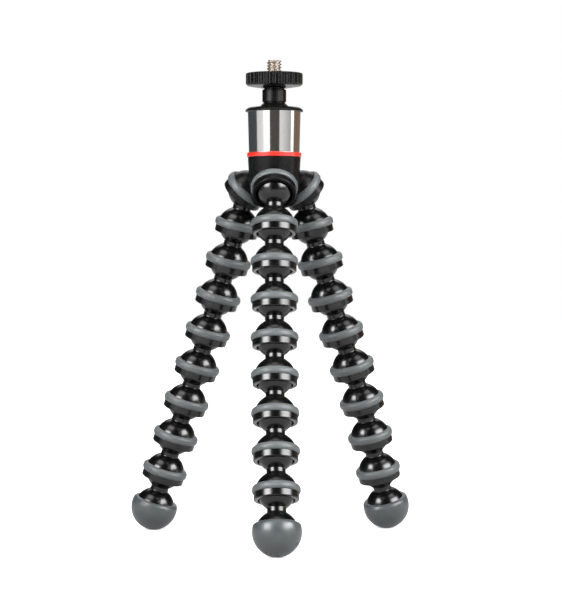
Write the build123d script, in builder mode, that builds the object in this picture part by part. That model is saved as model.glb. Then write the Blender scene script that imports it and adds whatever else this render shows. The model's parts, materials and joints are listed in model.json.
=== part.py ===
"""Flexible leg tripod: three chains of snap-together ball links under a ball head with a camera screw.

Millimetres, +Z up. The origin is the point of the floor right under the camera screw, and the front
leg leans towards -Y. Every cup, link and foot turns about the centre of the ball that it holds.
"""

import os
from math import acos, asin, cos, degrees, radians, sin, sqrt, tan

from build123d import *

# Ball joint of the legs, alike in the hub, every link and every foot
BALL_R = 7.65
BALL_FIT = 0.08  # radial running clearance of a ball in its cup
CUP_WALL = 0.97
LIP_DEPTH = 3.4  # the cup's mouth below the ball's centre
GRIP_DEPTH = 2.0  # how far below its centre the cup still hugs the ball
MOUTH_FLARE = 0.13  # the mouth opens by this much more than the gripping edge
BAND_DEPTH = 0.5  # top of the cup's outer band below the ball's centre
BAND_PROUD = 0.5  # the band's outer face beyond the dome
BAND_EDGE = 0.45  # rounding of the band's lower edge
NECK_R = 3.95
NECK_LENGTH = 1.81
NECK_BLEND = 0.5  # fillet where the neck leaves the dome
CORE_R = 4.7  # blind hole that hollows the ball from above
CORE_RIM = 0.8  # flat rim left around that hole
CORE_FLOOR = 2.5  # plastic left between the hole and the neck

# Soft grip ring around each cup
RING_RISE = 2.8  # its upper edge above the ball's centre
RING_PROUD = 1.15  # its widest line beyond the dome
RING_WAIST = 1.0  # height of that line above the ball's centre
RING_UNDER = 0.5  # how much its lower edge is drawn in

# Foot
FOOT_WALL = 1.35  # rubber around the foot's dome
FOOT_RISE = 3.3  # the rubber's rim above the foot's centre
FOOT_RIM = 1.0  # height of the rim's rounding
PEG_DEPTH = 4.0  # the dome's peg inside the rubber, below the foot's centre
PEG_TAPER = 1.4  # how much slimmer the peg's end is than the dome
MOULD_GAP = 0.02  # between pieces that are moulded onto each other in one node

# Hub
SOCKET_GAP = 4.4  # between the grip rings of neighbouring sockets
SOCKET_TILT = 45  # degrees between a socket's axis and straight down
HUB_RISE = 13.9  # the body's shoulder above the sockets' centres
HUB_TOP_PROUD = 0.4  # the body at its shoulder beyond the sleeve's lower edge
HUB_DRAFT = 1.0  # the body is slimmer by this much at the sockets
HUB_SKIRT = 2.6  # how far the body's side reaches below the sockets' centres
HUB_TAIL = 5.0  # the rounded end under that side
HUB_TAIL_R = 4.5  # flat end of the tail
RING_ROOM = 0.15  # clearance cut into the body around the sockets' grip rings

# Ball head
HEAD_BALL_R = 7.65
HEAD_FIT = 0.05  # running clearance of the head's ball, seat and wheel
SEAT_WALL = 1.25
SEAT_FLOOR = 1.9
TUBE_WALL = 0.9
SLEEVE_HEIGHT = 17.3
SLEEVE_TOP_WALL = 1.4
SLEEVE_FOOT_WALL = 0.95
BAND_HEIGHT = 1.9  # the coloured band under the sleeve
BAND_WALL = 1.7
COLLAR_HEIGHT = 1.85
COLLAR_PROUD = 1.0  # the collar's rim beyond the sleeve
COLLAR_EDGE = 1.0
COLLAR_SKIRT = 1.5  # the part of the collar that reaches down into the tube
COLLAR_OVER_BALL_SHARE = 0.55  # the collar's top above the ball's centre, of the ball's radius
HEAD_TILT = 17  # degrees that the head leans before its neck meets the collar
TILT_SPARE = 1.3  # degrees left between neck and collar at that lean
STEM_R = 5.1
STEM_HEIGHT = 5.4
STEM_EDGE = 0.35
STEM_NECK_R = 4.6
STEM_NECK = 0.3  # the waist between ball and stem

# Lock wheel and camera screw
WHEEL_R = 12.1
RIM_HEIGHT = 4.5
RIM_CHAMFER = 0.35
UNDER_CHAMFER = 0.9
WHEEL_DISH = 1.4  # depth of the conical underside below the rim
BOSS_R = 4.3
FLUTES = 32
FLUTE_R = 1.15
FLUTE_DEPTH = 0.6
SEAT_RECESS_R = 4.4  # shallow recess around the screw in the wheel's top
SEAT_RECESS = 0.4
SCREW_R = 3.175
SCREW_PITCH_R = 2.76  # drawn at this radius where its thread is engaged
SCREW_HEIGHT = 5.5
SCREW_ANCHOR = 6.0  # length moulded into the stem
SCREW_CHAMFER = 0.5

CUT = 1.0  # overrun of cuts

# Poses of the legs as photographed, in degrees: where the hub's socket faces and where the leg
# heads at its top and at its foot, from the front, and how far each link leans from straight down
LEG_ANGLES = {
    "front": (0, (0, 2.5), (15, 14, 13.5, 15.5, 18.5, 21, 21.5, 21.5, 20)),
    "left": (-120, (-121, -110), (16, 17.5, 18.5, 18.5, 19, 19, 19, 19, 17.5)),
    "right": (120, (112.5, 133.5), (14.5, 16.5, 18, 20, 20.5, 19.5, 17.5, 17, 18)),
}

# Radii and heights that follow from the sizes above
CAVITY_R = BALL_R + BALL_FIT
DOME_R = CAVITY_R + CUP_WALL
BAND_R = DOME_R + BAND_PROUD
RING_R = DOME_R + RING_PROUD
FOOT_R = DOME_R + MOULD_GAP + FOOT_WALL
BALL_LAND = sqrt(BALL_R**2 - NECK_R**2)
DOME_ROOT = sqrt(DOME_R**2 - NECK_R**2)
PITCH = BALL_LAND + NECK_LENGTH + DOME_ROOT
SOCKET_CIRCLE_R = (2 * RING_R + SOCKET_GAP) / sqrt(3)


def drop(leans):
    """How far down a chain of links reaches, in pitches."""
    return sum(cos(radians(lean)) for lean in leans)


def levelled(leans, goal):
    """The same leans, all opened or closed by one small angle until the chain reaches the goal."""
    extra = 0.0
    for _ in range(8):
        tried = [lean + extra for lean in leans]
        slope = sum(sin(radians(lean)) for lean in tried)
        extra += degrees((drop(tried) - goal) / slope)
    return [lean + extra for lean in leans]


FRONT_LEANS = LEG_ANGLES["front"][2]
SOCKET_Z = FOOT_R + PITCH * drop(FRONT_LEANS)

# Heights of the head's pieces above the floor
SHOULDER_Z = SOCKET_Z + HUB_RISE
SLEEVE_Z = SHOULDER_Z + BAND_HEIGHT
COLLAR_Z = SLEEVE_Z + SLEEVE_HEIGHT
COLLAR_TOP_Z = COLLAR_Z + COLLAR_HEIGHT
COLLAR_OVER_BALL = HEAD_BALL_R * COLLAR_OVER_BALL_SHARE
HEAD_Z = COLLAR_TOP_Z - COLLAR_OVER_BALL
STEM_Z = HEAD_Z + sqrt(HEAD_BALL_R**2 - STEM_NECK_R**2) + STEM_NECK
STEM_TOP_Z = STEM_Z + STEM_HEIGHT
WHEEL_Z = STEM_TOP_Z + HEAD_FIT
RIM_Z = WHEEL_Z + WHEEL_DISH + UNDER_CHAMFER
WHEEL_TOP_Z = RIM_Z + RIM_HEIGHT
SCREW_TOP_Z = WHEEL_TOP_Z + SCREW_HEIGHT

# Radii of the head's pieces, from the ball outwards
HEAD_CAVITY_R = HEAD_BALL_R + HEAD_FIT
SEAT_R = HEAD_CAVITY_R + SEAT_WALL
TUBE_BORE_R = SEAT_R + HEAD_FIT
TUBE_R = TUBE_BORE_R + TUBE_WALL
SLEEVE_TOP_R = TUBE_R + SLEEVE_TOP_WALL
SLEEVE_FOOT_R = TUBE_R + SLEEVE_FOOT_WALL
HUB_SIDE_R = SLEEVE_FOOT_R + HUB_TOP_PROUD
SEAT_Z = HEAD_Z - HEAD_CAVITY_R - SEAT_FLOOR


def heading(angle):
    """Level unit vector towards a compass angle counted from the front, positive to the right."""
    return Vector(sin(radians(angle)), -cos(radians(angle)), 0)


def across(angle):
    """Level unit vector square to that heading."""
    return Vector(cos(radians(angle)), sin(radians(angle)), 0)


def axis_plane(centre, up, side):
    """Sketch plane with local Y along a link's own axis, so that local X is its radius."""
    return Plane(origin=centre, x_dir=side, z_dir=side.cross(up))


def socket_plane(angle):
    """Plane of a hub socket, at its ball's centre."""
    out = heading(angle)
    centre = out * SOCKET_CIRCLE_R + Vector(0, 0, SOCKET_Z)
    up = Vector(0, 0, 1) * cos(radians(SOCKET_TILT)) - out * sin(radians(SOCKET_TILT))
    return axis_plane(centre, up, across(angle))


def leg_planes(name):
    """Planes of a leg's links from the hub down, each at the centre of the ball that its cup holds."""
    socket_angle, (first, last), leans = LEG_ANGLES[name]
    point = socket_plane(socket_angle).origin
    leans = levelled(leans, drop(FRONT_LEANS))
    planes = []
    for place, lean in enumerate(leans):
        angle = first + (last - first) * place / (len(leans) - 1)
        up = Vector(0, 0, 1) * cos(radians(lean)) - heading(angle) * sin(radians(lean))
        point = point - up * PITCH
        planes.append(axis_plane(point, up, across(angle)))
    return planes


def on_circle(radius, height):
    """Distance from the axis of a circle's point at a height over its centre."""
    return sqrt(radius**2 - height**2)


def at_angle(radius, angle, centre=0):
    """Point of a circle about a centre on the axis, at an angle up from level."""
    return (radius * cos(radians(angle)), centre + radius * sin(radians(angle)))


def cup_mouth():
    """Outline of a cup from the foot of its dome round the lip and back up to the pole inside."""
    grip_r = on_circle(CAVITY_R, GRIP_DEPTH)
    Line((DOME_R, 0), (DOME_R, -BAND_DEPTH))
    Line((DOME_R, -BAND_DEPTH), (BAND_R, -BAND_DEPTH))
    Line((BAND_R, -BAND_DEPTH), (BAND_R, -LIP_DEPTH + BAND_EDGE))
    RadiusArc((BAND_R, -LIP_DEPTH + BAND_EDGE), (BAND_R - BAND_EDGE, -LIP_DEPTH), BAND_EDGE)
    Line((BAND_R - BAND_EDGE, -LIP_DEPTH), (grip_r + MOUTH_FLARE, -LIP_DEPTH))
    Line((grip_r + MOUTH_FLARE, -LIP_DEPTH), (grip_r, -GRIP_DEPTH))
    grip_angle = degrees(asin(GRIP_DEPTH / CAVITY_R))
    middle = at_angle(CAVITY_R, (90 - grip_angle) / 2)
    ThreePointArc((grip_r, -GRIP_DEPTH), middle, (0, CAVITY_R))


def ball_outline(centre):
    """Outline of a hollowed ball from the axis over its open top down to its neck."""
    rim_r = CORE_R + CORE_RIM
    rim_z = centre + on_circle(BALL_R, rim_r)
    floor_z = centre - BALL_LAND + CORE_FLOOR
    Line((0, floor_z), (CORE_R, floor_z))
    Line((CORE_R, floor_z), (CORE_R, rim_z))
    Line((CORE_R, rim_z), (rim_r, rim_z))
    ThreePointArc((rim_r, rim_z), (BALL_R, centre), (NECK_R, centre - BALL_LAND))


def link(name, plane):
    """One link: the ball that fills the cup above, its neck, and the cup for the ball below."""
    with BuildPart() as link_body:
        with BuildSketch(plane):
            with BuildLine():
                ball_outline(PITCH)
                Line((NECK_R, PITCH - BALL_LAND), (NECK_R, DOME_ROOT))
                root_angle = degrees(acos(NECK_R / DOME_R))
                ThreePointArc((NECK_R, DOME_ROOT), at_angle(DOME_R, root_angle / 2), (DOME_R, 0))
                cup_mouth()
                Line((0, CAVITY_R), (0, PITCH - BALL_LAND + CORE_FLOOR))
            make_face()
        revolve(axis=Axis(plane.origin, plane.y_dir))
        roots = link_body.edges().filter_by(GeomType.CIRCLE)
        root = roots.sort_by_distance(plane.from_local_coords((NECK_R, DOME_ROOT, 0)))[0]
        fillet(root, NECK_BLEND)
    link_body.part.label = name
    export_step(link_body.part, f"parts/{name}.step")


def grip_rings(name, planes):
    """Soft rings that hug their cups, each resting on the band below it."""
    with BuildPart() as rings:
        for plane in planes:
            top = (on_circle(DOME_R, RING_RISE), RING_RISE)
            shoulder = (on_circle(DOME_R, RING_RISE) + RING_PROUD / 3, RING_RISE)
            waist = (RING_R, RING_WAIST)
            under = (RING_R - RING_UNDER, -BAND_DEPTH)
            bulge = at_angle(1, 45)
            with BuildSketch(plane):
                with BuildLine():
                    Line(top, shoulder)
                    ThreePointArc(
                        shoulder,
                        (
                            shoulder[0] + (waist[0] - shoulder[0]) * bulge[0],
                            waist[1] + (shoulder[1] - waist[1]) * bulge[1],
                        ),
                        waist,
                    )
                    ThreePointArc(
                        waist,
                        (
                            under[0] + (waist[0] - under[0]) * bulge[0],
                            waist[1] + (under[1] - waist[1]) * bulge[1],
                        ),
                        under,
                    )
                    Line(under, (DOME_R, -BAND_DEPTH))
                    Line((DOME_R, -BAND_DEPTH), (DOME_R, 0))
                    rise_angle = degrees(asin(RING_RISE / DOME_R))
                    ThreePointArc((DOME_R, 0), at_angle(DOME_R, rise_angle / 2), top)
                make_face()
            revolve(axis=Axis(plane.origin, plane.y_dir))
    rings.part.label = name
    export_step(rings.part, f"parts/{name}.step")


def foot(name, plane):
    """Last ball and dome of a leg, with the rubber foot moulded around the dome's peg."""
    seat_r = DOME_R + MOULD_GAP
    peg_r = DOME_R - PEG_TAPER
    with BuildPart() as foot_body:
        with BuildSketch(plane):
            with BuildLine():
                ball_outline(PITCH)
                Line((NECK_R, PITCH - BALL_LAND), (NECK_R, DOME_ROOT))
                root_angle = degrees(acos(NECK_R / DOME_R))
                ThreePointArc((NECK_R, DOME_ROOT), at_angle(DOME_R, root_angle / 2), (DOME_R, 0))
                Line((DOME_R, 0), (peg_r, -PEG_DEPTH))
                Line((peg_r, -PEG_DEPTH), (0, -PEG_DEPTH))
                Line((0, -PEG_DEPTH), (0, PITCH - BALL_LAND + CORE_FLOOR))
            make_face()
        revolve(axis=Axis(plane.origin, plane.y_dir))
        roots = foot_body.edges().filter_by(GeomType.CIRCLE)
        root = roots.sort_by_distance(plane.from_local_coords((NECK_R, DOME_ROOT, 0)))[0]
        fillet(root, NECK_BLEND)
        rim_r = on_circle(seat_r, FOOT_RISE)
        rim_angle = degrees(asin((FOOT_RISE - FOOT_RIM) / FOOT_R))
        rim_low = at_angle(FOOT_R, rim_angle)
        with BuildSketch(plane):
            with BuildLine():
                ThreePointArc((0, -FOOT_R), at_angle(FOOT_R, rim_angle / 2 - 45), rim_low)
                TangentArc(rim_low, (rim_r, FOOT_RISE), tangent=(-sin(radians(rim_angle)), cos(radians(rim_angle))))
                seat_angle = degrees(asin(FOOT_RISE / seat_r))
                ThreePointArc((rim_r, FOOT_RISE), at_angle(seat_r, seat_angle / 2), (seat_r, 0))
                Line((seat_r, 0), (peg_r + MOULD_GAP, -PEG_DEPTH - MOULD_GAP))
                Line((peg_r + MOULD_GAP, -PEG_DEPTH - MOULD_GAP), (0, -PEG_DEPTH - MOULD_GAP))
                Line((0, -PEG_DEPTH - MOULD_GAP), (0, -FOOT_R))
            make_face()
        revolve(axis=Axis(plane.origin, plane.y_dir))
    foot_body.part.label = name
    export_step(foot_body.part, f"parts/{name}.step")


def hub_body():
    """Moulded hub: three cups that face down and out, and the tube that carries the ball head."""
    skirt_z = SOCKET_Z - HUB_SKIRT
    tail_z = skirt_z - HUB_TAIL
    side_r = HUB_SIDE_R - HUB_DRAFT
    with BuildPart() as hub:
        with BuildSketch(Plane.XZ):
            with BuildLine():
                Line((0, tail_z), (HUB_TAIL_R, tail_z))
                TangentArc((HUB_TAIL_R, tail_z), (side_r, skirt_z), tangent=(1, 0))
                Line((side_r, skirt_z), (HUB_SIDE_R, SHOULDER_Z))
                Line((HUB_SIDE_R, SHOULDER_Z), (TUBE_R, SHOULDER_Z))
                Line((TUBE_R, SHOULDER_Z), (TUBE_R, COLLAR_Z))
                Line((TUBE_R, COLLAR_Z), (TUBE_BORE_R, COLLAR_Z))
                Line((TUBE_BORE_R, COLLAR_Z), (TUBE_BORE_R, SEAT_Z - HEAD_FIT))
                Line((TUBE_BORE_R, SEAT_Z - HEAD_FIT), (0, SEAT_Z - HEAD_FIT))
                Line((0, SEAT_Z - HEAD_FIT), (0, tail_z))
            make_face()
        revolve(axis=Axis.Z)
        planes = [socket_plane(angle) for angle, _, _ in LEG_ANGLES.values()]
        for plane in planes:
            turn = Axis(plane.origin, plane.y_dir)
            with BuildSketch(plane):
                with BuildLine():
                    Line((DOME_R, -BAND_DEPTH), (DOME_R + RING_PROUD + RING_ROOM, -BAND_DEPTH))
                    Line(
                        (DOME_R + RING_PROUD + RING_ROOM, -BAND_DEPTH),
                        (DOME_R + RING_PROUD + RING_ROOM, RING_RISE + RING_ROOM),
                    )
                    Line(
                        (DOME_R + RING_PROUD + RING_ROOM, RING_RISE + RING_ROOM),
                        (on_circle(DOME_R, RING_RISE + RING_ROOM), RING_RISE + RING_ROOM),
                    )
                    Line((on_circle(DOME_R, RING_RISE + RING_ROOM), RING_RISE + RING_ROOM), (0, RING_RISE))
                    Line((0, RING_RISE), (0, -2 * DOME_R))
                    Line((0, -2 * DOME_R), (2 * DOME_R, -2 * DOME_R))
                    Line((2 * DOME_R, -2 * DOME_R), (DOME_R, -BAND_DEPTH))
                make_face()
            revolve(axis=turn, mode=Mode.SUBTRACT)
        for plane in planes:
            turn = Axis(plane.origin, plane.y_dir)
            with BuildSketch(plane):
                with BuildLine():
                    ThreePointArc((0, DOME_R), at_angle(DOME_R, 45), (DOME_R, 0))
                    cup_mouth()
                    Line((0, CAVITY_R), (0, DOME_R))
                make_face()
            revolve(axis=turn)
        for plane in planes:
            with Locations(plane):
                Sphere(CAVITY_R, mode=Mode.SUBTRACT)
    hub.part.label = "hub_body"
    export_step(hub.part, "parts/hub_body.step")


def red_band():
    """Coloured band trapped between the hub's shoulder and the sleeve."""
    with BuildPart() as band:
        with BuildSketch(Plane.XY.offset(SHOULDER_Z)):
            Circle(TUBE_R + BAND_WALL)
            Circle(TUBE_R, mode=Mode.SUBTRACT)
        extrude(amount=BAND_HEIGHT)
        outer = band.edges().filter_by(GeomType.CIRCLE).group_by(SortBy.RADIUS)[-1]
        fillet(outer, BAND_HEIGHT / 6)
    band.part.label = "red_band"
    export_step(band.part, "parts/red_band.step")


def steel_sleeve():
    """Slightly tapered steel sleeve around the hub's tube."""
    with BuildPart() as sleeve:
        with BuildSketch(Plane.XZ):
            with BuildLine():
                Polyline(
                    (TUBE_R, SLEEVE_Z),
                    (SLEEVE_FOOT_R, SLEEVE_Z),
                    (SLEEVE_TOP_R, COLLAR_Z),
                    (TUBE_R, COLLAR_Z),
                    close=True,
                )
            make_face()
        revolve(axis=Axis.Z)
    sleeve.part.label = "steel_sleeve"
    export_step(sleeve.part, "parts/steel_sleeve.step")


def top_collar():
    """Screwed collar that holds the ball down in its seat and caps the sleeve."""
    neck_angle = degrees(asin(STEM_NECK_R / HEAD_BALL_R))
    mouth_r = COLLAR_OVER_BALL * tan(radians(neck_angle + HEAD_TILT + TILT_SPARE))
    rim_r = SLEEVE_TOP_R + COLLAR_PROUD
    skirt_z = COLLAR_Z - COLLAR_SKIRT
    with BuildPart() as collar:
        with BuildSketch(Plane.XZ):
            with BuildLine():
                Line((mouth_r, COLLAR_TOP_Z), (rim_r - 2 * COLLAR_EDGE, COLLAR_TOP_Z))
                ThreePointArc(
                    (rim_r - 2 * COLLAR_EDGE, COLLAR_TOP_Z),
                    (rim_r - COLLAR_EDGE / 2, COLLAR_TOP_Z - COLLAR_EDGE * 0.7),
                    (rim_r, COLLAR_Z + COLLAR_HEIGHT / 4),
                )
                Line((rim_r, COLLAR_Z + COLLAR_HEIGHT / 4), (rim_r, COLLAR_Z + COLLAR_HEIGHT / 8))
                Line((rim_r, COLLAR_Z + COLLAR_HEIGHT / 8), (rim_r - COLLAR_HEIGHT / 8, COLLAR_Z))
                Line((rim_r - COLLAR_HEIGHT / 8, COLLAR_Z), (TUBE_BORE_R, COLLAR_Z))
                Line((TUBE_BORE_R, COLLAR_Z), (TUBE_BORE_R, skirt_z))
                Line((TUBE_BORE_R, skirt_z), (mouth_r, skirt_z))
                Line((mouth_r, skirt_z), (mouth_r, COLLAR_TOP_Z))
            make_face()
        revolve(axis=Axis.Z)
        with Locations((0, 0, HEAD_Z)):
            Sphere(HEAD_CAVITY_R, mode=Mode.SUBTRACT)
    collar.part.label = "top_collar"
    export_step(collar.part, "parts/top_collar.step")


def ball_seat():
    """Plastic friction cup under the head's ball, which turns with it inside the tube."""
    seat_top_z = COLLAR_Z - COLLAR_SKIRT - HEAD_FIT
    with BuildPart() as seat:
        with BuildSketch(Plane.XY.offset(SEAT_Z)):
            Circle(SEAT_R)
        extrude(amount=seat_top_z - SEAT_Z)
        with Locations((0, 0, HEAD_Z)):
            Sphere(HEAD_CAVITY_R, mode=Mode.SUBTRACT)
    seat.part.label = "ball_seat"
    export_step(seat.part, "parts/ball_seat.step")


def ball_stem():
    """The head's ball with the stem that carries the wheel and the screw."""
    neck_z = STEM_Z - STEM_NECK
    with BuildPart() as stem:
        with BuildSketch(Plane.XZ):
            with BuildLine():
                ThreePointArc((0, HEAD_Z - HEAD_BALL_R), (HEAD_BALL_R, HEAD_Z), (STEM_NECK_R, neck_z))
                Line((STEM_NECK_R, neck_z), (STEM_NECK_R, STEM_Z))
                Line((STEM_NECK_R, STEM_Z), (STEM_R - STEM_EDGE, STEM_Z))
                RadiusArc((STEM_R - STEM_EDGE, STEM_Z), (STEM_R, STEM_Z + STEM_EDGE), -STEM_EDGE)
                Line((STEM_R, STEM_Z + STEM_EDGE), (STEM_R, STEM_TOP_Z - STEM_EDGE))
                Line((STEM_R, STEM_TOP_Z - STEM_EDGE), (STEM_R - STEM_EDGE, STEM_TOP_Z))
                Line((STEM_R - STEM_EDGE, STEM_TOP_Z), (SCREW_PITCH_R, STEM_TOP_Z))
                Line((SCREW_PITCH_R, STEM_TOP_Z), (SCREW_PITCH_R, STEM_TOP_Z - SCREW_ANCHOR))
                Line((SCREW_PITCH_R, STEM_TOP_Z - SCREW_ANCHOR), (0, STEM_TOP_Z - SCREW_ANCHOR))
                Line((0, STEM_TOP_Z - SCREW_ANCHOR), (0, HEAD_Z - HEAD_BALL_R))
            make_face()
        revolve(axis=Axis.Z)
    stem.part.label = "ball_stem"
    export_step(stem.part, "parts/ball_stem.step")


def mounting_screw():
    """Camera screw moulded into the stem, at its full radius only where it stands free."""
    free_z = WHEEL_TOP_Z - SEAT_RECESS + HEAD_FIT
    with BuildPart() as screw:
        with BuildSketch(Plane.XY.offset(STEM_TOP_Z - SCREW_ANCHOR)):
            Circle(SCREW_PITCH_R)
        extrude(amount=free_z - STEM_TOP_Z + SCREW_ANCHOR)
        with BuildSketch(Plane.XY.offset(free_z)):
            Circle(SCREW_R)
        extrude(amount=SCREW_TOP_Z - free_z)
        top = screw.edges().filter_by(GeomType.CIRCLE).sort_by(Axis.Z)[-1]
        chamfer(top, SCREW_CHAMFER)
    screw.part.label = "mounting_screw"
    export_step(screw.part, "parts/mounting_screw.step")


def lock_wheel():
    """Fluted wheel that is turned up against the camera to lock it."""
    under_r = WHEEL_R - UNDER_CHAMFER
    with BuildPart() as wheel:
        with BuildSketch(Plane.XZ):
            with BuildLine():
                Polyline(
                    (SCREW_PITCH_R + HEAD_FIT, WHEEL_Z),
                    (BOSS_R, WHEEL_Z),
                    (BOSS_R, WHEEL_Z + WHEEL_DISH / 4),
                    (under_r, WHEEL_Z + WHEEL_DISH),
                    (WHEEL_R, RIM_Z),
                    (WHEEL_R, WHEEL_TOP_Z - RIM_CHAMFER),
                    (WHEEL_R - RIM_CHAMFER, WHEEL_TOP_Z),
                    (SEAT_RECESS_R, WHEEL_TOP_Z),
                    (SEAT_RECESS_R, WHEEL_TOP_Z - SEAT_RECESS),
                    (SCREW_PITCH_R + HEAD_FIT, WHEEL_TOP_Z - SEAT_RECESS),
                    close=True,
                )
            make_face()
        revolve(axis=Axis.Z)
        with BuildSketch(Plane.XY.offset(WHEEL_Z + WHEEL_DISH - CUT)):
            with PolarLocations(WHEEL_R - FLUTE_DEPTH + FLUTE_R, FLUTES):
                Circle(FLUTE_R)
        extrude(amount=RIM_HEIGHT + UNDER_CHAMFER + 2 * CUT, mode=Mode.SUBTRACT)
    wheel.part.label = "lock_wheel"
    export_step(wheel.part, "parts/lock_wheel.step")


os.makedirs("parts", exist_ok=True)
hub_body()
red_band()
steel_sleeve()
top_collar()
ball_seat()
ball_stem()
mounting_screw()
lock_wheel()
grip_rings("hub_grip_rings", [socket_plane(angle) for angle, _, _ in LEG_ANGLES.values()])
for leg in LEG_ANGLES:
    *link_planes, foot_plane = leg_planes(leg)
    for number, link_plane in enumerate(link_planes, start=1):
        link(f"{leg}_link_{number}", link_plane)
        grip_rings(f"{leg}_grip_{number}", [link_plane])
    foot(f"{leg}_foot", foot_plane)

print("pitch", round(PITCH, 3), "socket circle", round(SOCKET_CIRCLE_R, 3), "socket height", round(SOCKET_Z, 2))
print("overall height", round(SCREW_TOP_Z, 2))
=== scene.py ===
"""Dresses the flexible leg tripod: studio, viewpoint, finishes, feet and the camera screw's thread.

Metres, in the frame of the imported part: +Z up, the floor at Z = 0, the front leg towards -Y.
"""

import json
import logging
import math
from dataclasses import dataclass, field
from enum import Enum

import bmesh
import bpy
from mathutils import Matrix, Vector


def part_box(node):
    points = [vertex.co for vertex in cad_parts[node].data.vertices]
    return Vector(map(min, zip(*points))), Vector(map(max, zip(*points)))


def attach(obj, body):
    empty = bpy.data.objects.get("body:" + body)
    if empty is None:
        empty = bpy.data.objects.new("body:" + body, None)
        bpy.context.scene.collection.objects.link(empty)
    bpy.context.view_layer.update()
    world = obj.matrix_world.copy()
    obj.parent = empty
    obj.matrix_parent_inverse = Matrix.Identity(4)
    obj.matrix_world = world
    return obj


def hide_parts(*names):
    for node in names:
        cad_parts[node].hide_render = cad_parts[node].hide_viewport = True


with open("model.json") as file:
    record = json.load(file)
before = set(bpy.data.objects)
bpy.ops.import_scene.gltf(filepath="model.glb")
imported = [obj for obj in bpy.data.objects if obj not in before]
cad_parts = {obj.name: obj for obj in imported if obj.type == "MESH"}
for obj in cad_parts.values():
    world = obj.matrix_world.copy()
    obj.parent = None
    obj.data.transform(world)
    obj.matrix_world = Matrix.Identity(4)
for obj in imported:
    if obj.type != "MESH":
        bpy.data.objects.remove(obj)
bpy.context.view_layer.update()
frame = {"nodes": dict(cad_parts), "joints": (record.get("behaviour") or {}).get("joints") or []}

MM = 0.001
LOG = logging.getLogger("flexible_leg_tripod")

Colour = tuple[float, float, float]
Span = tuple[float, float]
Socket = bpy.types.NodeSocket
Sockets = bpy.types.bpy_prop_collection
Level = float | Socket

WHOLE: Span = (0.0, 1.0)
WARM_WHITE: Colour = (1.0, 0.94, 0.86)

# Sides of a round piece, and the radius under which a ring of it is drawn as one point.
ROUND_SIDES = 128
POLE_R = 1e-7

# Directions in an outline, in degrees up from level and away from the axis.
STRAIGHT_DOWN = -90.0
TO_THE_AXIS = 180.0

# Stretches of noise that the masks are drawn from.
MOTTLE_NOISE: Span = (0.3, 0.7)
SPECK_NOISE: Span = (0.35, 0.65)
LINT_NOISE: Span = (0.5, 0.72)

# Lint: scale of its noise, slopes on which it begins to lie and lies fully, roughness it adds.
LINT_SCALE = 900.0
LINT_SLOPES: Span = (0.35, 0.95)
LINT_ROUGHNESS = 0.5

# Rubbed edges: how far the rounded and the plain normal agree on a plain face and on a rubbed
# edge, the share of rubbing that broken-up noise leaves, and the samples of the rounding.
EDGE_AGREEMENT: Span = (0.98, 0.80)
RUB_SHARES: Span = (0.25, 1.0)
ROUNDING_SAMPLES = 6

# Shape of the noise that becomes turned lines: long round the piece, fine along it.
LINE_STRETCH = (0.02, 0.02, 1.0)

# Sockets of the Mix node for colours, by number, because their names repeat.
MIX_INPUTS = (0, 6, 7)
MIX_RESULT = 2


class Slot(Enum):
    """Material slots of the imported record."""

    LINK_PLASTIC = "link_plastic"
    GRIP_RUBBER = "grip_rubber"
    FOOT_RUBBER = "foot_rubber"
    HUB_PLASTIC = "hub_plastic"
    RED_PLASTIC = "red_plastic"
    SLEEVE_STEEL = "sleeve_steel"
    COLLAR_PLASTIC = "collar_plastic"
    SEAT_NYLON = "seat_nylon"
    STEM_PLASTIC = "stem_plastic"
    SCREW_STEEL = "screw_steel"
    WHEEL_PLASTIC = "wheel_plastic"


class Leg(Enum):
    """The three legs, by the side they stand on."""

    FRONT = "front"
    LEFT = "left"
    RIGHT = "right"


def grey(level: float) -> Colour:
    """Neutral colour of one level."""
    return (level, level, level)


def opaque(colour: Colour | Socket) -> tuple[float, ...] | Socket:
    """Colour with its full alpha added, or the socket that a colour comes from."""
    return (*colour, 1.0) if isinstance(colour, tuple) else colour


def towards(azimuth: float, elevation: float) -> Vector:
    """Unit vector from the object.

    Args:
        azimuth: Degrees from the viewer's side, positive to the viewer's right.
        elevation: Degrees up from level.

    Returns:
        The vector.
    """
    level = math.cos(math.radians(elevation))
    across = math.sin(math.radians(azimuth))
    ahead = -math.cos(math.radians(azimuth))
    return Vector((across * level, ahead * level, math.sin(math.radians(elevation))))


def add_object(name: str, mesh: bmesh.types.BMesh) -> bpy.types.Object:
    """Makes an object of a mesh and puts it in the scene.

    Args:
        name: Name of the object and its data.
        mesh: The mesh, which is freed.

    Returns:
        The new object.
    """
    data = bpy.data.meshes.new(name)
    mesh.to_mesh(data)
    mesh.free()
    result = bpy.data.objects.new(name, data)
    bpy.context.scene.collection.objects.link(result)
    return result


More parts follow.
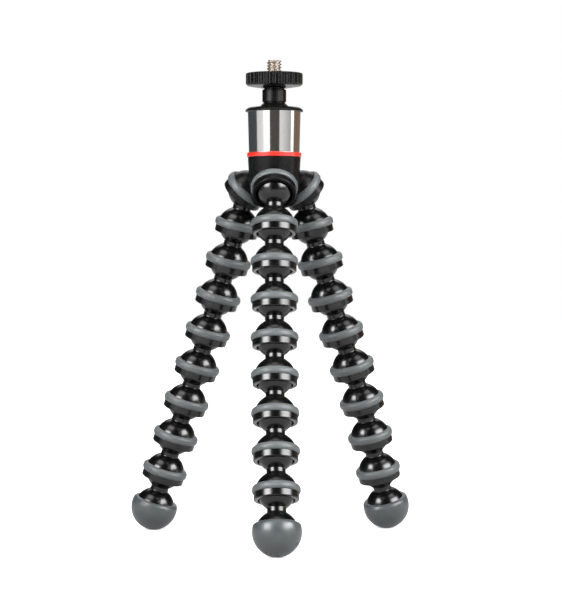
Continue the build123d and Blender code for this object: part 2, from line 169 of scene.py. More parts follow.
class Graph:
    """Adds nodes to one node tree and links them as they are added."""

    def __init__(self, tree: bpy.types.NodeTree) -> None:
        """Keeps the tree that nodes are added to."""
        self.tree = tree

    def add(self, kind: str, inputs: dict | None = None, **settings: object) -> bpy.types.Node:
        """Adds one node.

        Args:
            kind: Blender's type name of the node.
            inputs: Values or output sockets for its inputs, by name or number.
            **settings: Properties of the node itself.

        Returns:
            The new node.
        """
        node = self.tree.nodes.new(kind)
        for name, value in settings.items():
            setattr(node, name, value)
        self.feed(node, inputs or {})
        return node

    def feed(self, node: bpy.types.Node, inputs: dict) -> None:
        """Links or sets a node's inputs.

        Args:
            node: The node.
            inputs: Values or output sockets for its inputs, by name or number.
        """
        for name, value in inputs.items():
            if isinstance(value, Socket):
                self.tree.links.new(value, node.inputs[name])
            else:
                node.inputs[name].default_value = value

    def show(self, shader: bpy.types.Node) -> None:
        """Shows a shader on the material's surface."""
        self.feed(self.tree.nodes["Material Output"], {"Surface": shader.outputs[0]})

    def group(self, tree: bpy.types.NodeTree, inputs: dict[str, float]) -> Sockets:
        """Outputs of a node group.

        Args:
            tree: The shared node group.
            inputs: Values for its inputs.

        Returns:
            The output sockets of the new group node.
        """
        return self.add("ShaderNodeGroup", inputs, node_tree=tree).outputs

    def math(self, operation: str, first: Level, second: Level = 0.0) -> Socket:
        """Output of a Math node.

        Args:
            operation: Blender's name of the operation.
            first: Value or socket.
            second: Value or socket.

        Returns:
            The node's result.
        """
        return self.add("ShaderNodeMath", {0: first, 1: second}, operation=operation).outputs[0]

    def span(self, value: Socket, given: Span, wanted: Span = WHOLE) -> Socket:
        """Output of a clamped Map Range node.

        Args:
            value: Socket to map.
            given: Its values at the two ends.
            wanted: Results at those two ends.

        Returns:
            The mapped value.
        """
        inputs = {"Value": value, "From Min": given[0], "From Max": given[1]}
        inputs |= {"To Min": wanted[0], "To Max": wanted[1]}
        return self.add("ShaderNodeMapRange", inputs).outputs["Result"]

    def place(self) -> Socket:
        """Place in the object's own coordinates, in metres."""
        return self.add("ShaderNodeTexCoord").outputs["Object"]

    def scale_for(self, size_mm: Socket) -> Socket:
        """Scale of a noise whose grains have a size in millimetres."""
        return self.math("DIVIDE", 1 / MM, size_mm)

    def noise(self, place: Socket, scale: Level, detail: float, roughness: float = 0.5) -> Socket:
        """Output of a Noise Texture node.

        Args:
            place: Socket of the place to look up.
            scale: Value or socket of the noise's scale.
            detail: Number of finer layers.
            roughness: Strength of each finer layer.

        Returns:
            The noise, from 0 to 1.
        """
        inputs = {"Vector": place, "Scale": scale, "Detail": detail, "Roughness": roughness}
        return self.add("ShaderNodeTexNoise", inputs).outputs[0]

    def blend(self, share: Socket, first: Colour | Socket, second: Colour | Socket) -> Socket:
        """Mixes two colours.

        Args:
            share: Socket of the mask, 0 for the first colour and 1 for the second.
            first: Colour or socket.
            second: Colour or socket.

        Returns:
            The mixed colour.
        """
        inputs = dict(zip(MIX_INPUTS, (share, opaque(first), opaque(second))))
        mix = self.add("ShaderNodeMix", inputs, data_type="RGBA", clamp_factor=True)
        return mix.outputs[MIX_RESULT]

    def bump(self, height: Socket, depth_mm: float, normal: Socket) -> Socket:
        """Output of a Bump node.

        Args:
            height: Socket of the height, from 0 to 1.
            depth_mm: Depth of the full height in millimetres.
            normal: Socket of the surface's own normal.

        Returns:
            The bumped normal.
        """
        inputs = {"Strength": 1.0, "Distance": depth_mm * MM, "Height": height, "Normal": normal}
        return self.add("ShaderNodeBump", inputs).outputs["Normal"]


def new_material(name: str) -> tuple[bpy.types.Material, Graph, bpy.types.Node]:
    """Starts a material.

    Args:
        name: Name of the material.

    Returns:
        The material, its graph and its Principled node.
    """
    result = bpy.data.materials.new(name)
    result.use_nodes = True
    return result, Graph(result.node_tree), result.node_tree.nodes["Principled BSDF"]


def new_stage_material(name: str) -> tuple[bpy.types.Material, Graph]:
    """Starts a material of the studio, which has no Principled node.

    Args:
        name: Name of the material.

    Returns:
        The material and its graph.
    """
    result, graph, shader = new_material(name)
    result.node_tree.nodes.remove(shader)
    return result, graph


def new_group(
    name: str, inputs: dict[str, float], outputs: dict[str, str]
) -> tuple[Graph, Sockets, bpy.types.Node]:
    """Starts a shader node group.

    Args:
        name: Name of the group.
        inputs: Number inputs with their usual values.
        outputs: Output names with their socket types.

    Returns:
        The graph, its input node's outputs and its output node.
    """
    tree = bpy.data.node_groups.new(name, "ShaderNodeTree")
    for label, value in inputs.items():
        socket = tree.interface.new_socket(
            name=label, in_out="INPUT", socket_type="NodeSocketFloat"
        )
        socket.default_value = value
    for label, kind in outputs.items():
        tree.interface.new_socket(name=label, in_out="OUTPUT", socket_type=kind)
    graph = Graph(tree)
    return graph, graph.add("NodeGroupInput").outputs, graph.add("NodeGroupOutput")


def moulded_grain_group() -> bpy.types.NodeTree:
    """Fine grain of a moulded skin, with slow mottling, in sizes of millimetres."""
    graph, given, result = new_group(
        "moulded_grain",
        {"Grain mm": 0.12, "Mottle mm": 5.0},
        {"Height": "NodeSocketFloat", "Mottle": "NodeSocketFloat"},
    )
    place = graph.place()
    fine = graph.noise(place, graph.scale_for(given["Grain mm"]), detail=2.0, roughness=0.6)
    slow = graph.noise(place, graph.scale_for(given["Mottle mm"]), detail=4.0, roughness=0.55)
    graph.feed(result, {"Height": fine, "Mottle": graph.span(slow, MOTTLE_NOISE)})
    return graph.tree


def edge_rub_group() -> bpy.types.NodeTree:
    """Rounded edges and a mask of where hands rub them, broken up by noise."""
    graph, given, result = new_group(
        "edge_rub",
        {"Radius mm": 0.15, "Break up mm": 1.0},
        {"Mask": "NodeSocketFloat", "Normal": "NodeSocketVector"},
    )
    radius = graph.math("MULTIPLY", given["Radius mm"], MM)
    rounding = graph.add("ShaderNodeBevel", {"Radius": radius}, samples=ROUNDING_SAMPLES)
    soft = rounding.outputs["Normal"]
    plain = graph.add("ShaderNodeNewGeometry").outputs["Normal"]
    compared = graph.add("ShaderNodeVectorMath", {0: soft, 1: plain}, operation="DOT_PRODUCT")
    edge = graph.span(compared.outputs["Value"], EDGE_AGREEMENT)
    noise = graph.noise(graph.place(), graph.scale_for(given["Break up mm"]), detail=3.0)
    broken = graph.span(noise, SPECK_NOISE, RUB_SHARES)
    graph.feed(result, {"Mask": graph.math("MULTIPLY", edge, broken), "Normal": soft})
    return graph.tree


def settled_dust_group() -> bpy.types.NodeTree:
    """Mask of the fine lint that settles on surfaces that face up."""
    graph, given, result = new_group(
        "settled_dust", {"Amount": 0.1}, {"Mask": "NodeSocketFloat"}
    )
    normal = graph.add("ShaderNodeNewGeometry").outputs["Normal"]
    up = graph.add("ShaderNodeSeparateXYZ", {0: normal}).outputs["Z"]
    facing = graph.span(up, LINT_SLOPES)
    specks = graph.noise(graph.place(), LINT_SCALE, detail=5.0, roughness=0.7)
    lint = graph.math("MULTIPLY", facing, graph.span(specks, LINT_NOISE))
    graph.feed(result, {"Mask": graph.math("MULTIPLY", lint, given["Amount"])})
    return graph.tree


def turned_lines_group() -> bpy.types.NodeTree:
    """Hair-fine lines that turning leaves round an upright metal part, with faint specks."""
    graph, given, result = new_group(
        "turned_lines",
        {"Line mm": 0.05, "Speck mm": 0.35},
        {"Height": "NodeSocketFloat", "Specks": "NodeSocketFloat"},
    )
    place = graph.place()
    squeezed = graph.add("ShaderNodeMapping", {"Vector": place, "Scale": LINE_STRETCH}).outputs[0]
    lines = graph.noise(squeezed, graph.scale_for(given["Line mm"]), detail=2.0, roughness=0.7)
    specks = graph.noise(place, graph.scale_for(given["Speck mm"]), detail=3.0)
    graph.feed(result, {"Height": lines, "Specks": graph.span(specks, SPECK_NOISE)})
    return graph.tree


@dataclass
class Effects:
    """The node groups that several finishes share, built once."""

    grain: bpy.types.NodeTree = field(default_factory=moulded_grain_group)
    rub: bpy.types.NodeTree = field(default_factory=edge_rub_group)
    dust: bpy.types.NodeTree = field(default_factory=settled_dust_group)
    lines: bpy.types.NodeTree = field(default_factory=turned_lines_group)


@dataclass(frozen=True)
class Moulding:
    """Finish of a moulded plastic or rubber piece."""

    slot: Slot
    colour: Colour
    mottled: Colour
    rubbed: Colour
    roughness: Span
    grain_mm: float = 0.12
    grain_depth_mm: float = 0.004
    mottle_mm: float = 5.0
    edge_mm: float = 0.15
    rub_amount: float = 0.4
    dust_amount: float = 0.05
    dust_colour: Colour = (0.30, 0.30, 0.29)
    coat: float = 0.0
    coat_roughness: float = 0.05
    specular: float = 0.5

    def material(self, effects: Effects) -> bpy.types.Material:
        """Builds the material.

        Args:
            effects: The shared node groups.

        Returns:
            A procedural material named after its slot.
        """
        result, graph, shader = new_material(self.slot.value)
        sizes = {"Grain mm": self.grain_mm, "Mottle mm": self.mottle_mm}
        grain = graph.group(effects.grain, sizes)
        rub = graph.group(effects.rub, {"Radius mm": self.edge_mm})
        dust = graph.group(effects.dust, {"Amount": self.dust_amount})["Mask"]
        worn = graph.math("MULTIPLY", rub["Mask"], self.rub_amount)
        colour = graph.blend(grain["Mottle"], self.colour, self.mottled)
        colour = graph.blend(worn, colour, self.rubbed)
        colour = graph.blend(dust, colour, self.dust_colour)
        rough = graph.span(grain["Mottle"], WHOLE, self.roughness)
        rough = graph.math("ADD", rough, graph.math("MULTIPLY", dust, LINT_ROUGHNESS))
        inputs = {
            "Base Color": colour,
            "Roughness": rough,
            "Normal": graph.bump(grain["Height"], self.grain_depth_mm, rub["Normal"]),
            "Coat Weight": self.coat,
            "Coat Roughness": self.coat_roughness,
            "Specular IOR Level": self.specular,
        }
        graph.feed(shader, inputs)
        return result


@dataclass(frozen=True)
class BareMetal:
    """Finish of a turned or drawn steel piece."""

    slot: Slot
    colour: Colour
    specked: Colour
    roughness: Span
    line_mm: float = 0.05
    line_depth_mm: float = 0.0005
    speck_mm: float = 0.35
    edge_mm: float = 0.05

    def material(self, effects: Effects) -> bpy.types.Material:
        """Builds the material.

        Args:
            effects: The shared node groups.

        Returns:
            A procedural material named after its slot.
        """
        result, graph, shader = new_material(self.slot.value)
        sizes = {"Line mm": self.line_mm, "Speck mm": self.speck_mm}
        lines = graph.group(effects.lines, sizes)
        rub = graph.group(effects.rub, {"Radius mm": self.edge_mm})
        inputs = {
            "Base Color": graph.blend(lines["Specks"], self.colour, self.specked),
            "Metallic": 1.0,
            "Roughness": graph.span(lines["Specks"], WHOLE, self.roughness),
            "Normal": graph.bump(lines["Height"], self.line_depth_mm, rub["Normal"]),
        }
        graph.feed(shader, inputs)
        return result


FINISHES = (
    Moulding(
        Slot.LINK_PLASTIC,
        colour=grey(0.0018),
        mottled=grey(0.0028),
        rubbed=grey(0.010),
        roughness=(0.18, 0.23),
        grain_depth_mm=0.0010,
        edge_mm=0.20,
        dust_amount=0.006,
        specular=0.46,
    ),
    Moulding(
        Slot.GRIP_RUBBER,
        colour=(0.074, 0.084, 0.086),
        mottled=(0.088, 0.098, 0.100),
        rubbed=(0.14, 0.150, 0.152),
        roughness=(0.42, 0.50),
        grain_mm=0.16,
        dust_amount=0.03,
        dust_colour=grey(0.30),
    ),
    Moulding(
        Slot.FOOT_RUBBER,
        colour=(0.050, 0.057, 0.059),
        mottled=(0.061, 0.069, 0.071),
        rubbed=(0.092, 0.100, 0.102),
        roughness=(0.27, 0.34),
        grain_mm=0.22,
        grain_depth_mm=0.003,
        dust_amount=0.02,
        dust_colour=grey(0.28),
        specular=0.55,
    ),
    Moulding(
        Slot.HUB_PLASTIC,
        colour=grey(0.0025),
        mottled=grey(0.0040),
        rubbed=grey(0.010),
        roughness=(0.25, 0.31),
        grain_depth_mm=0.002,
        edge_mm=0.08,
        dust_amount=0.004,
        specular=0.18,
    ),
    Moulding(
        Slot.RED_PLASTIC,
        colour=(0.66, 0.022, 0.013),
        mottled=(0.72, 0.028, 0.017),
        rubbed=(0.80, 0.08, 0.05),
        roughness=(0.22, 0.28),
        grain_depth_mm=0.0006,
        edge_mm=0.08,
        dust_amount=0.0,
        coat=0.7,
        coat_roughness=0.06,
    ),
    BareMetal(
        Slot.SLEEVE_STEEL,
        colour=(0.70, 0.69, 0.68),
        specked=(0.62, 0.61, 0.60),
        roughness=(0.09, 0.14),
    ),
    Moulding(
        Slot.COLLAR_PLASTIC,
        colour=grey(0.0020),
        mottled=grey(0.0035),
        rubbed=grey(0.008),
        roughness=(0.27, 0.32),
        grain_depth_mm=0.001,
        edge_mm=0.04,
        dust_amount=0.002,
        specular=0.15,
    ),
    Moulding(
        Slot.SEAT_NYLON,
        colour=grey(0.30),
        mottled=grey(0.36),
        rubbed=grey(0.5),
        roughness=(0.45, 0.55),
    ),
    Moulding(
        Slot.STEM_PLASTIC,
        colour=grey(0.0020),
        mottled=grey(0.0035),
        rubbed=grey(0.008),
        roughness=(0.24, 0.28),
        grain_depth_mm=0.001,
        edge_mm=0.03,
        dust_amount=0.002,
        specular=0.30,
    ),
    BareMetal(
        Slot.SCREW_STEEL,
        colour=(0.42, 0.38, 0.33),
        specked=(0.37, 0.335, 0.29),
        roughness=(0.44, 0.50),
        line_depth_mm=0.0001,
        speck_mm=1.2,
    ),
    Moulding(
        Slot.WHEEL_PLASTIC,
        colour=grey(0.0022),
        mottled=grey(0.0036),
        rubbed=grey(0.010),
        roughness=(0.17, 0.21),
        grain_depth_mm=0.0004,
        edge_mm=0.07,
        dust_amount=0.002,
        specular=0.30,
    ),
)


@dataclass
class Dressing:
    """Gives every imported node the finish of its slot."""

    effects: Effects = field(default_factory=Effects)

    def __post_init__(self) -> None:
        """Builds one material for each slot."""
        self.materials = {finish.slot: finish.material(self.effects) for finish in FINISHES}

    def dress(self, node: str, slot: Slot) -> None:
        """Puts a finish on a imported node.

        Args:
            node: Name of the node.
            slot: Slot whose finish it gets.
        """
        for place in frame["nodes"][node].material_slots:
            place.material = self.materials[slot]
        LOG.info("%s wears %s", node, slot.value)


@dataclass(frozen=True)
class Stand:
    """Where a revolved piece stands."""

    centre: Vector
    up: Vector

    def point(self, radius: float, height: float, angle: float) -> Vector:
        """Point of the piece's surface.

        Args:
            radius: Distance from the piece's axis.
            height: Height over its centre, along the axis.
            angle: Angle round the axis, in radians.

        Returns:
            The point in the frame.
        """
        side = self.up.orthogonal().normalized()
        across = self.up.cross(side)
        out = side * math.cos(angle) + across * math.sin(angle)
        return self.centre + out * radius + self.up * height


@dataclass
class Outline:
    """Closed outline of a revolved piece, from pole to pole, with the corners that stay crisp."""

    points: list[Span] = field(default_factory=list)
    crisp: set[int] = field(default_factory=set)

    def corner(self, radius: float, height: float) -> None:
        """Adds a crisp corner."""
        self.crisp.add(len(self.points))
        self.points.append((radius, height))

    def arc(self, centre: Span, radius: float, start: float, end: float, steps: int) -> None:
        """Adds an arc.

        Args:
            centre: Its centre, as distance from the axis and height.
            radius: Its radius.
            start: Angle of its first point, in degrees up from level.
            end: Angle of its last point.
            steps: Number of pieces it is drawn in.
        """
        for step in range(steps + 1):
            angle = math.radians(start + (end - start) * step / steps)
            out, rise = radius * math.cos(angle), radius * math.sin(angle)
            self.points.append((centre[0] + out, centre[1] + rise))

    def revolve(self, name: str, stand: Stand, sides: int = ROUND_SIDES) -> bpy.types.Object:
        """Turns the outline into a smooth piece.

        Args:
            name: Name of the piece.
            stand: Where it stands.
            sides: Number of sides round it.

        Returns:
            The new object.
        """
        mesh = bmesh.new()
        rings = []
        for radius, height in self.points:
            count = sides if radius > POLE_R else 1
            angles = [side / sides * math.tau for side in range(count)]
            rings.append([mesh.verts.new(stand.point(radius, height, angle)) for angle in angles])
        for number, (under, over) in enumerate(zip(rings, rings[1:])):
            for side in range(sides):
                after = (side + 1) % sides
                corners = [under[side % len(under)], under[after % len(under)]]
                corners += [over[after % len(over)], over[side % len(over)]]
                face = mesh.faces.new(list(dict.fromkeys(corners)))
                face.smooth = True
            for end, ring in ((number, under), (number + 1, over)):
                if end in self.crisp and len(ring) > 1:
                    for side in range(sides):
                        mesh.edges.get((ring[side], ring[(side + 1) % sides])).smooth = False
        bmesh.ops.recalc_face_normals(mesh, faces=mesh.faces)
        return add_object(name, mesh)


HEAD_SLOTS: dict[str, Slot] = {
    "hub_body": Slot.HUB_PLASTIC,
    "hub_grip_rings": Slot.GRIP_RUBBER,
    "red_band": Slot.RED_PLASTIC,
    "steel_sleeve": Slot.SLEEVE_STEEL,
    "top_collar": Slot.COLLAR_PLASTIC,
    "ball_seat": Slot.SEAT_NYLON,
    "ball_stem": Slot.STEM_PLASTIC,
    "lock_wheel": Slot.WHEEL_PLASTIC,
}


@dataclass
class BallHead:
    """Hub with its sleeve, ball head, lock wheel and camera screw.

    The shares are of one pitch: the flat on each crest and root of the thread, its run-in from
    the plain shank, and how far under its start the shank ends.
    """

    dressing: Dressing
    pitch: float = 1.27 * MM
    crest_r: float = 3.13 * MM
    root_r: float = 2.42 * MM
    shank_r: float = 2.70 * MM
    tip_chamfer: float = 0.45 * MM
    sides: int = 96
    rows_a_turn: int = 22
    flat_share: float = 0.12
    run_in_share: float = 0.5
    shank_end_share: float = 0.25

    def build(self) -> None:
        """Dresses the head's nodes and cuts the screw's thread."""
        for node, slot in HEAD_SLOTS.items():
            self.dressing.dress(node, slot)
        self.threaded_screw()

    def thread_radius(self, angle: float, rise: float) -> float:
        """Radius of the thread's surface.

        Args:
            angle: Angle round the screw, in radians.
            rise: Height above the start of the thread.

        Returns:
            The radius, between the root's and the crest's.
        """
        phase = (rise / self.pitch - angle / math.tau) % 1.0
        # From 1 at a crest down to 0 at the root half a pitch on, and up again.
        ramp = abs(2 * phase - 1)
        height = (ramp - self.flat_share) / (1 - 2 * self.flat_share)
        return self.root_r + (self.crest_r - self.root_r) * min(max(height, 0.0), 1.0)

    def threaded_screw(self) -> None:
        """Builds the screw: a plain shank in the stem, and a thread with a chamfered tip above."""
        low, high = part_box("mounting_screw")
        wheel_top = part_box("lock_wheel")[1].z
        thread_z = wheel_top - self.pitch
        shank_end = thread_z - self.pitch * self.shank_end_share
        run_in = self.pitch * self.run_in_share
        rows = round((high.z - thread_z) / self.pitch * self.rows_a_turn)
        mesh = bmesh.new()
        rings = [self.ring(mesh, z, [self.shank_r] * self.sides) for z in (low.z, shank_end)]
        for row in range(rows + 1):
            z = thread_z + (high.z - thread_z) * row / rows
            tip_r = self.crest_r - max(0.0, z - (high.z - self.tip_chamfer))
            fade = min(1.0, (z - thread_z) / run_in)
            radii = []
            for side in range(self.sides):
                cut = self.thread_radius(side / self.sides * math.tau, z - thread_z)
                radii.append(min(self.shank_r + (cut - self.shank_r) * fade, tip_r))
            rings.append(self.ring(mesh, z, radii))
        for under, over in zip(rings, rings[1:]):
            for side in range(self.sides):
                after = (side + 1) % self.sides
                face = mesh.faces.new((under[side], under[after], over[after], over[side]))
                face.smooth = True
        mesh.faces.new(reversed(rings[0]))
        mesh.faces.new(rings[-1])
        screw = add_object("camera_screw", mesh)
        screw.data.materials.append(self.dressing.materials[Slot.SCREW_STEEL])
        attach(screw, "ball_stem")
        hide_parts("mounting_screw")
        LOG.info("camera screw has %d faces", len(screw.data.polygons))

    def ring(
        self, mesh: bmesh.types.BMesh, z: float, radii: list[float]
    ) -> list[bmesh.types.BMVert]:
        """Adds one ring of the screw's surface.

        Args:
            mesh: Mesh that gets the vertices.
            z: Height of the ring.
            radii: Radius at each side.

        Returns:
            The ring's vertices.
        """
        vertices = []
        for side, radius in enumerate(radii):
            angle = side / self.sides * math.tau
            place = (radius * math.cos(angle), radius * math.sin(angle), z)
            vertices.append(mesh.verts.new(place))
        return vertices


@dataclass
class BallLinkLeg:
    """One leg: eight links with their grip rings, and the foot."""

    leg: Leg
    dressing: Dressing
    links: int = 8

    def build(self) -> None:
        """Dresses the leg's nodes and makes its foot."""
        for number in range(1, self.links + 1):
            self.dressing.dress(f"{self.leg.value}_link_{number}", Slot.LINK_PLASTIC)
            self.dressing.dress(f"{self.leg.value}_grip_{number}", Slot.GRIP_RUBBER)
        LegFoot(self.leg, self.dressing).build()


@dataclass
class LegFoot:
    """Foot of a leg: a black ball, neck and dome, with the rubber cap moulded round the dome.

    Heights are measured along the foot's axis, from the centre of the dome and the cap.
    """

    leg: Leg
    dressing: Dressing
    pitch: float = 16.113 * MM
    ball_r: float = 7.65 * MM
    ball_rim_r: float = 5.5 * MM
    core_r: float = 4.7 * MM
    core_floor: float = 2.5 * MM
    neck_r: float = 3.95 * MM
    neck_blend: float = 0.5 * MM
    dome_r: float = 8.70 * MM
    peg_r: float = 7.30 * MM
    peg_depth: float = 4.0 * MM
    cap_gap: float = 0.02 * MM
    cap_r: float = 10.07 * MM
    cap_rise: float = 3.3 * MM
    rim_height: float = 1.0 * MM
    ball_steps: int = 40
    blend_steps: int = 8
    dome_steps: int = 40
    cap_steps: int = 64
    rim_steps: int = 12

    def build(self) -> None:
        """Makes the foot's two pieces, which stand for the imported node."""
        node = f"{self.leg.value}_foot"
        stand = self.stand()
        pieces = (
            (self.plastic_outline(), "plastic", Slot.LINK_PLASTIC),
            (self.rubber_outline(), "rubber", Slot.FOOT_RUBBER),
        )
        for outline, label, slot in pieces:
            piece = outline.revolve(f"{node}_{label}", stand)
            piece.data.materials.append(self.dressing.materials[slot])
            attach(piece, node)
            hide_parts(node)
            LOG.info("%s has %d faces", piece.name, len(piece.data.polygons))

    def stand(self) -> Stand:
        """Finds the foot's centre and way up from the joint it hangs on.

        Returns:
            Where the foot stands, with its cap resting on the floor.
        """
        name = f"{self.leg.value}_foot_bend"
        joint = next(item for item in frame["joints"] if item["name"] == name)
        ball = Vector(joint["pos_m"])
        heading = Vector(joint["axis"]).cross(Vector((0.0, 0.0, 1.0))).normalized()
        if heading.dot(ball) < 0:
            heading = -heading
        drop = ball.z - self.cap_r
        reach = math.sqrt(self.pitch**2 - drop**2)
        up = (Vector((0.0, 0.0, drop)) - heading * reach) / self.pitch
        return Stand(ball - up * self.pitch, up)

    def plastic_outline(self) -> Outline:
        """Ball with its blind hole, neck, dome and the peg inside the cap."""
        outline = Outline()
        neck_z = self.pitch - math.sqrt(self.ball_r**2 - self.neck_r**2)
        rim_z = self.pitch + math.sqrt(self.ball_r**2 - self.ball_rim_r**2)
        outline.corner(0.0, neck_z + self.core_floor)
        outline.corner(self.core_r, neck_z + self.core_floor)
        outline.corner(self.core_r, rim_z)
        outline.corner(self.ball_rim_r, rim_z)
        rim_angle = math.degrees(math.acos(self.ball_rim_r / self.ball_r))
        neck_angle = -math.degrees(math.acos(self.neck_r / self.ball_r))
        outline.arc((0.0, self.pitch), self.ball_r, rim_angle, neck_angle, self.ball_steps)
        outline.corner(self.neck_r, neck_z)
        blend_r = self.neck_r + self.neck_blend
        blend_z = math.sqrt((self.dome_r + self.neck_blend) ** 2 - blend_r**2)
        blend = (blend_r, blend_z)
        dome_angle = math.degrees(math.atan2(blend_z, blend_r))
        blend_end = TO_THE_AXIS + dome_angle
        outline.arc(blend, self.neck_blend, TO_THE_AXIS, blend_end, self.blend_steps)
        outline.arc((0.0, 0.0), self.dome_r, dome_angle, 0.0, self.dome_steps)
        outline.corner(self.peg_r, -self.peg_depth)
        outline.corner(0.0, -self.peg_depth)
        return outline

    def rubber_outline(self) -> Outline:
        """Round cap with a rolled rim, hollowed for the dome and its peg."""
        outline = Outline()
        seat_r = self.dome_r + self.cap_gap
        rim_r = math.sqrt(seat_r**2 - self.cap_rise**2)
        shoulder = math.degrees(math.asin((self.cap_rise - self.rim_height) / self.cap_r))
        outline.arc((0.0, 0.0), self.cap_r, STRAIGHT_DOWN, shoulder, self.cap_steps)
        low = outline.points[-1]
        lean = math.radians(shoulder)
        chord = Vector((rim_r - low[0], self.cap_rise - low[1]))
        inward = Vector((-math.cos(lean), -math.sin(lean)))
        radius = chord.length_squared / (2 * chord.dot(inward))
        centre = Vector(low) + inward * radius
        end = math.degrees(math.atan2(self.cap_rise - centre.y, rim_r - centre.x))
        outline.arc((centre.x, centre.y), radius, shoulder, end, self.rim_steps)
        outline.corner(rim_r, self.cap_rise)
        seat_angle = math.degrees(math.asin(self.cap_rise / seat_r))
        outline.arc((0.0, 0.0), seat_r, seat_angle, 0.0, self.rim_steps)
        outline.corner(self.peg_r + self.cap_gap, -self.peg_depth - self.cap_gap)
        outline.corner(0.0, -self.peg_depth - self.cap_gap)
        return outline


@dataclass(frozen=True)
class Softbox:
    """Lamp behind a cloth that is brightest in its middle and fades towards its edges."""

    name: str
    azimuth: float
    elevation: float
    wide: float
    tall: float
    level: float
    colour: Colour = grey(1.0)
    distance: float = 1.3
    core_share: float = 0.35

    def build(self, aim: Vector) -> None:
        """Hangs the lamp.

        Args:
            aim: Point that the lamp faces.
        """
        half_width = self.distance * math.tan(math.radians(self.wide) / 2)
        half_height = self.distance * math.tan(math.radians(self.tall) / 2)
        mesh = bmesh.new()
        corners = ((-1, -1), (1, -1), (1, 1), (-1, 1))
        mesh.faces.new(
            [mesh.verts.new((x * half_width, y * half_height, 0.0)) for x, y in corners]
        )
        box = add_object(self.name, mesh)
        box.location = aim + towards(self.azimuth, self.elevation) * self.distance
        box.rotation_euler = (aim - box.location).to_track_quat("Z", "Y").to_euler()
        box.visible_camera = False
        box.data.materials.append(self.cloth(half_width, half_height))

    def cloth(self, half_width: float, half_height: float) -> bpy.types.Material:
        """Builds the glowing cloth.

        Args:
            half_width: Half of its width.
            half_height: Half of its height.

        Returns:
            A material that glows on the side that faces the object.
        """
        result, graph = new_stage_material(self.name)
        parts = graph.add("ShaderNodeSeparateXYZ", {0: graph.place()}).outputs
        strength: Level = self.level
        for part, half in ((parts["X"], half_width), (parts["Y"], half_height)):
            reach = graph.math("ABSOLUTE", part)
            inputs = {"Value": reach, "From Min": half, "From Max": half * self.core_share}
            fade = graph.add("ShaderNodeMapRange", inputs, interpolation_type="SMOOTHSTEP")
            strength = graph.math("MULTIPLY", fade.outputs["Result"], strength)
        back = graph.add("ShaderNodeNewGeometry").outputs["Backfacing"]
        strength = graph.math("MULTIPLY", strength, graph.math("SUBTRACT", 1.0, back))
        inputs = {"Color": opaque(self.colour), "Strength": strength}
        graph.show(graph.add("ShaderNodeEmission", inputs))
        return result


@dataclass(frozen=True)
class WallPanel:
    """Upright stretch of the studio's wall as gloss shows it, graded from side to side.

    It runs between two azimuths in degrees, as towards() counts them.
    """

    start: float
    end: float
    left: Colour
    right: Colour


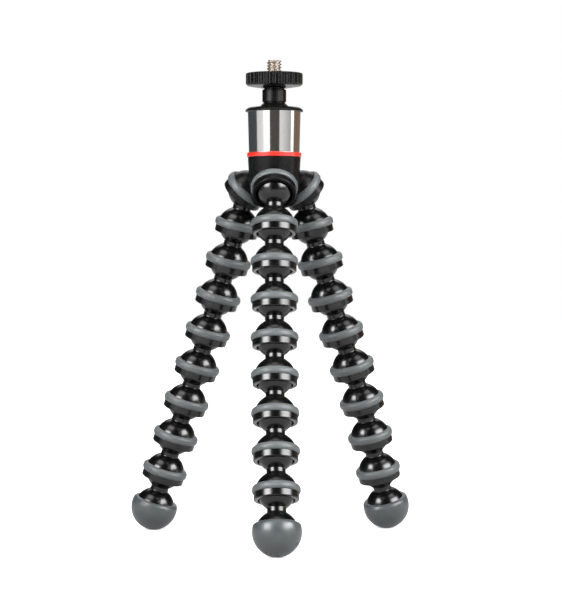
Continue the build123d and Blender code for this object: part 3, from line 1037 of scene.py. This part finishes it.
@dataclass
class Studio:
    """White floor, softboxes and the walls that polished pieces reflect."""

    aim: Vector
    floor_r: float = 3.0
    floor_bounce: float = 0.32
    floor_glow: float = 0.45
    floor_glow_fades: Span = (0.25, 0.9)
    floor_in_gloss: float = 0.32
    floor_whites: Span = (0.86, 0.90)
    paper_scale: float = 400.0
    wall_r: float = 1.7
    wall_low: float = -0.02
    wall_high: float = 0.28
    wall_fade_share: float = 1.5
    wall_step: float = 4.0
    ceiling_z: float = 1.9
    ceiling_hole_share: float = 0.01
    ceiling_level: float = 0.012
    ambient: float = 0.14
    panels: tuple[WallPanel, ...] = (
        WallPanel(-162, -82, (0.075, 0.085, 0.092), (0.085, 0.096, 0.105)),
        WallPanel(-82, -48, grey(0.90), grey(1.0)),
        WallPanel(-48, -20, grey(1.8), grey(1.9)),
        WallPanel(-20, 23, (0.09, 0.083, 0.079), (0.085, 0.077, 0.071)),
        WallPanel(23, 79, grey(1.05), grey(0.42)),
        WallPanel(79, 94, grey(2.2), grey(2.2)),
        WallPanel(94, 158, (0.24, 0.17, 0.12), (0.28, 0.20, 0.14)),
    )
    softboxes: tuple[Softbox, ...] = (
        Softbox("left_softbox", azimuth=-50, elevation=25, wide=44, tall=32, level=22.0),
        Softbox("right_softbox", azimuth=60, elevation=27, wide=62, tall=34, level=18.0),
        Softbox("left_high_softbox", azimuth=-45, elevation=58, wide=48, tall=30, level=4.5),
        Softbox("right_high_softbox", azimuth=55, elevation=58, wide=44, tall=28, level=3.5),
        Softbox(
            "top_softbox", azimuth=0, elevation=80, wide=44, tall=30, level=2.4, colour=WARM_WHITE
        ),
        Softbox("back_softbox", azimuth=180, elevation=45, wide=60, tall=30, level=2.4),
    )

    def build(self) -> None:
        """Builds floor, walls, lamps and background."""
        self.floor()
        self.walls()
        for softbox in self.softboxes:
            softbox.build(self.aim)
            LOG.info("%s hangs at %d degrees", softbox.name, softbox.azimuth)
        self.background()

    def floor(self) -> None:
        """Lays the round floor: white to the eye, darker in gloss, with the shadow kept."""
        mesh = bmesh.new()
        bmesh.ops.create_circle(mesh, cap_ends=True, radius=self.floor_r, segments=ROUND_SIDES)
        floor = add_object("studio_floor", mesh)
        material, graph = new_stage_material("studio_floor")
        place = graph.place()
        distance = graph.add("ShaderNodeVectorMath", {0: place}, operation="LENGTH")
        reach = graph.span(
            distance.outputs["Value"], self.floor_glow_fades, (self.floor_glow, 1.0)
        )
        camera_ray, gloss_ray = self.background_rays(graph)
        in_gloss = graph.math("MULTIPLY", gloss_ray, self.floor_in_gloss)
        seen = graph.math("MAXIMUM", camera_ray, in_gloss)
        paper = graph.noise(place, self.paper_scale, detail=3.0)
        white = graph.span(paper, WHOLE, self.floor_whites)
        bounce = graph.span(seen, WHOLE, (self.floor_bounce, 1.0))
        matt = graph.add("ShaderNodeBsdfDiffuse", {"Color": graph.math("MULTIPLY", white, bounce)})
        glow = graph.add("ShaderNodeEmission", {"Strength": graph.math("MULTIPLY", reach, seen)})
        both = {0: matt.outputs[0], 1: glow.outputs[0]}
        graph.show(graph.add("ShaderNodeAddShader", both))
        floor.data.materials.append(material)

    @staticmethod
    def background_rays(graph: Graph) -> tuple[Socket, Socket]:
        """Masks of the rays that see the white background.

        Args:
            graph: The graph that gets the nodes.

        Returns:
            One mask for the camera and one for gloss and glass.
        """
        path = graph.add("ShaderNodeLightPath").outputs
        mirrored = graph.math("MAXIMUM", path["Is Glossy Ray"], path["Is Transmission Ray"])
        return path["Is Camera Ray"], mirrored

    def walls(self) -> None:
        """Stands the graded wall panels round the object and closes them with a dark ceiling."""
        mesh = bmesh.new()
        layer = mesh.verts.layers.float_color.new("level")
        for panel in self.panels:
            columns = self.panel_columns(panel, mesh, layer)
            for before, after in zip(columns, columns[1:]):
                for row in range(len(before) - 1):
                    mesh.faces.new((before[row], after[row], after[row + 1], before[row + 1]))
        walls = add_object("studio_walls", mesh)
        material, graph = new_stage_material("studio_walls")
        level = graph.add("ShaderNodeVertexColor", layer_name="level").outputs["Color"]
        graph.show(graph.add("ShaderNodeEmission", {"Color": level, "Strength": 1.0}))
        walls.data.materials.append(material)
        walls.visible_camera = False
        walls.visible_diffuse = False
        walls.visible_shadow = False
        walls.visible_transmission = False

    def panel_columns(
        self, panel: WallPanel, mesh: bmesh.types.BMesh, layer: object
    ) -> list[list[bmesh.types.BMVert]]:
        """Adds the vertices of one wall panel and of the ceiling over it.

        Args:
            panel: The panel.
            mesh: Mesh that gets the vertices.
            layer: Colour layer of the wall's brightness.

        Returns:
            Columns from one side to the other, each from the floor up.
        """
        dark = opaque(grey(self.ceiling_level))
        wide = panel.end - panel.start
        steps = round(wide / self.wall_step)
        columns = []
        for step in range(steps + 1):
            share = step / steps
            out = towards(panel.start + wide * share, 0) * self.wall_r
            level = opaque(tuple(a + (b - a) * share for a, b in zip(panel.left, panel.right)))
            rows = (
                (out, self.wall_low, level),
                (out, self.wall_high, level),
                (out, self.wall_high * self.wall_fade_share, dark),
                (out, self.ceiling_z, dark),
                (out * self.ceiling_hole_share, self.ceiling_z, dark),
            )
            columns.append([])
            for place, z, colour in rows:
                vertex = mesh.verts.new((place.x, place.y, z))
                vertex[layer] = colour
                columns[-1].append(vertex)
        return columns

    def background(self) -> None:
        """Lights the world: white where it is seen, and an even level on the object."""
        world = bpy.data.worlds.new("studio_world")
        world.use_nodes = True
        bpy.context.scene.world = world
        graph = Graph(world.node_tree)
        seen = graph.math("MAXIMUM", *self.background_rays(graph))
        strength = graph.span(seen, WHOLE, (self.ambient, 1.0))
        inputs = {"Color": opaque(grey(1.0)), "Strength": strength}
        graph.feed(world.node_tree.nodes["Background"], inputs)


@dataclass(frozen=True)
class Viewpoint:
    """Camera at the photograph's viewing angle."""

    distance: float = 888 * MM
    height: float = 120.0 * MM
    aim_x: float = 2.85 * MM
    aim_z: float = 101.2 * MM
    focal_mm: float = 125.4
    sensor_mm: float = 36.0
    seen_from: float = 0.05
    seen_to: float = 20.0

    def build(self) -> Vector:
        """Sets the camera up.

        Returns:
            The point that it aims at.
        """
        lens = bpy.data.cameras.new("viewpoint")
        lens.sensor_fit = "VERTICAL"
        lens.sensor_height = self.sensor_mm
        lens.lens = self.focal_mm
        lens.clip_start = self.seen_from
        lens.clip_end = self.seen_to
        camera = bpy.data.objects.new("viewpoint", lens)
        aim = Vector((self.aim_x, 0.0, self.aim_z))
        camera.location = Vector((0.0, -self.distance, self.height))
        camera.rotation_euler = (aim - camera.location).to_track_quat("-Z", "Y").to_euler()
        bpy.context.scene.collection.objects.link(camera)
        bpy.context.scene.camera = camera
        return aim


def main() -> None:
    """Builds the scene piece by piece."""
    logging.basicConfig(level=logging.INFO, format="%(name)s: %(message)s")
    bpy.context.scene.view_settings.view_transform = "Standard"
    aim = Viewpoint().build()
    Studio(aim).build()
    dressing = Dressing()
    BallHead(dressing).build()
    for leg in Leg:
        BallLinkLeg(leg, dressing).build()
        LOG.info("%s leg is dressed", leg.value)
    LOG.info("both boxes are written")


if __name__ == "__main__":
    main()
